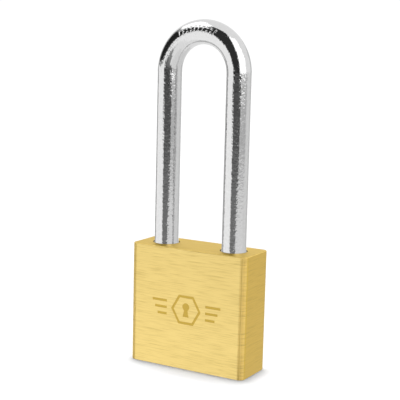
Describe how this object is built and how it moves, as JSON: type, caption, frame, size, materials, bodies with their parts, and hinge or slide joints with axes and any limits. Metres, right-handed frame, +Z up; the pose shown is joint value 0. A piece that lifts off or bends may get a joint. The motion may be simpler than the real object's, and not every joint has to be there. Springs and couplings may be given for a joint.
{
  "type": "padlock",
  "caption": "Solid brass block padlock with a long round chromed steel shackle and a keyed cylinder in its bottom.",
  "frame": {"origin": "centre of the body's bottom face, the face with the keyway, which the padlock stands on", "axes": "+X along the width from the long captive leg towards the short leg, +Y from the marked front face to the back, +Z up from the body to the arch of the shackle"},
  "size_m": [0.0508, 0.019, 0.1351],
  "materials": {
    "body_brass": "brushed",
    "shackle_chrome": "polished",
    "cylinder_brass": "machined",
    "plug_brass": "machined",
    "pin_brass": "turned",
    "driver_nickel_silver": "turned",
    "ball_steel": "polished",
    "cam_steel": "sintered",
    "spring_steel": "drawn wire",
    "screw_steel": "black oxide"
  },
  "bodies": {
    "body": {"body_block": "body_brass", "cylinder_shell": "cylinder_brass", "chamber_cover": "cylinder_brass", "retaining_screw": "screw_steel", "shackle_spring": "spring_steel", "pin_spring_1": "spring_steel", "pin_spring_2": "spring_steel", "pin_spring_3": "spring_steel", "pin_spring_4": "spring_steel", "pin_spring_5": "spring_steel"},
    "shackle": {"shackle": "shackle_chrome"},
    "plug": {"cylinder_plug": "plug_brass", "plug_clip": "spring_steel"},
    "cam": {"locking_cam": "cam_steel"},
    "toe_ball": {"toe_ball": "ball_steel"},
    "heel_ball": {"heel_ball": "ball_steel"},
    "key_pin_1": {"key_pin_1": "pin_brass"},
    "driver_pin_1": {"driver_pin_1": "driver_nickel_silver"},
    "key_pin_2": {"key_pin_2": "pin_brass"},
    "driver_pin_2": {"driver_pin_2": "driver_nickel_silver"},
    "key_pin_3": {"key_pin_3": "pin_brass"},
    "driver_pin_3": {"driver_pin_3": "driver_nickel_silver"},
    "key_pin_4": {"key_pin_4": "pin_brass"},
    "driver_pin_4": {"driver_pin_4": "driver_nickel_silver"},
    "key_pin_5": {"key_pin_5": "pin_brass"},
    "driver_pin_5": {"driver_pin_5": "driver_nickel_silver"}
  },
  "joints": [
    {"name": "shackle_lift", "type": "slide", "parent": "body", "child": "shackle", "axis": [0, 0, 1], "range_m": [0, 0.021], "deforming": ["shackle_spring"]},
    {"name": "plug_turn", "type": "hinge", "parent": "body", "child": "plug", "pos_m": [0, 0, 0], "axis": [0, 0, 1], "range_deg": [-90, 0]},
    {"name": "cam_turn", "type": "hinge", "parent": "body", "child": "cam", "pos_m": [0, 0, 0], "axis": [0, 0, 1], "range_deg": [-90, 0]},
    {"name": "toe_ball_slide", "type": "slide", "parent": "body", "child": "toe_ball", "axis": [1, 0, 0], "range_m": [0, 0.0026]},
    {"name": "heel_ball_slide", "type": "slide", "parent": "body", "child": "heel_ball", "axis": [-1, 0, 0], "range_m": [0, 0.0015]},
    {"name": "key_pin_1_slide", "type": "slide", "parent": "plug", "child": "key_pin_1", "axis": [0, -1, 0], "range_m": [0, 0.0006]},
    {"name": "driver_pin_1_slide", "type": "slide", "parent": "body", "child": "driver_pin_1", "axis": [1, 0, 0], "range_m": [0, 0.0016], "stiffness_N_per_m": 100, "springref_m": -0.002, "deforming": ["pin_spring_1"]},
    {"name": "key_pin_2_slide", "type": "slide", "parent": "plug", "child": "key_pin_2", "axis": [0, -1, 0], "range_m": [0, 0.0018]},
    {"name": "driver_pin_2_slide", "type": "slide", "parent": "body", "child": "driver_pin_2", "axis": [1, 0, 0], "range_m": [0, 0.0016], "stiffness_N_per_m": 100, "springref_m": -0.002, "deforming": ["pin_spring_2"]},
    {"name": "key_pin_3_slide", "type": "slide", "parent": "plug", "child": "key_pin_3", "axis": [0, -1, 0], "range_m": [0, 0.0012]},
    {"name": "driver_pin_3_slide", "type": "slide", "parent": "body", "child": "driver_pin_3", "axis": [1, 0, 0], "range_m": [0, 0.0016], "stiffness_N_per_m": 100, "springref_m": -0.002, "deforming": ["pin_spring_3"]},
    {"name": "key_pin_4_slide", "type": "slide", "parent": "plug", "child": "key_pin_4", "axis": [0, -1, 0], "range_m": [0, 0.0023]},
    {"name": "driver_pin_4_slide", "type": "slide", "parent": "body", "child": "driver_pin_4", "axis": [1, 0, 0], "range_m": [0, 0.0016], "stiffness_N_per_m": 100, "springref_m": -0.002, "deforming": ["pin_spring_4"]},
    {"name": "key_pin_5_slide", "type": "slide", "parent": "plug", "child": "key_pin_5", "axis": [0, -1, 0], "range_m": [0, 0.0009]},
    {"name": "driver_pin_5_slide", "type": "slide", "parent": "body", "child": "driver_pin_5", "axis": [1, 0, 0], "range_m": [0, 0.0016], "stiffness_N_per_m": 100, "springref_m": -0.002, "deforming": ["pin_spring_5"]}
  ],
  "couplings": [
    {"joint": "cam_turn", "follows": "plug_turn", "ratio": 1},
    {"joint": "toe_ball_slide", "follows": "plug_turn", "m_per_rad": -0.0016552},
    {"joint": "heel_ball_slide", "follows": "plug_turn", "m_per_rad": -0.00095493}
  ]
}
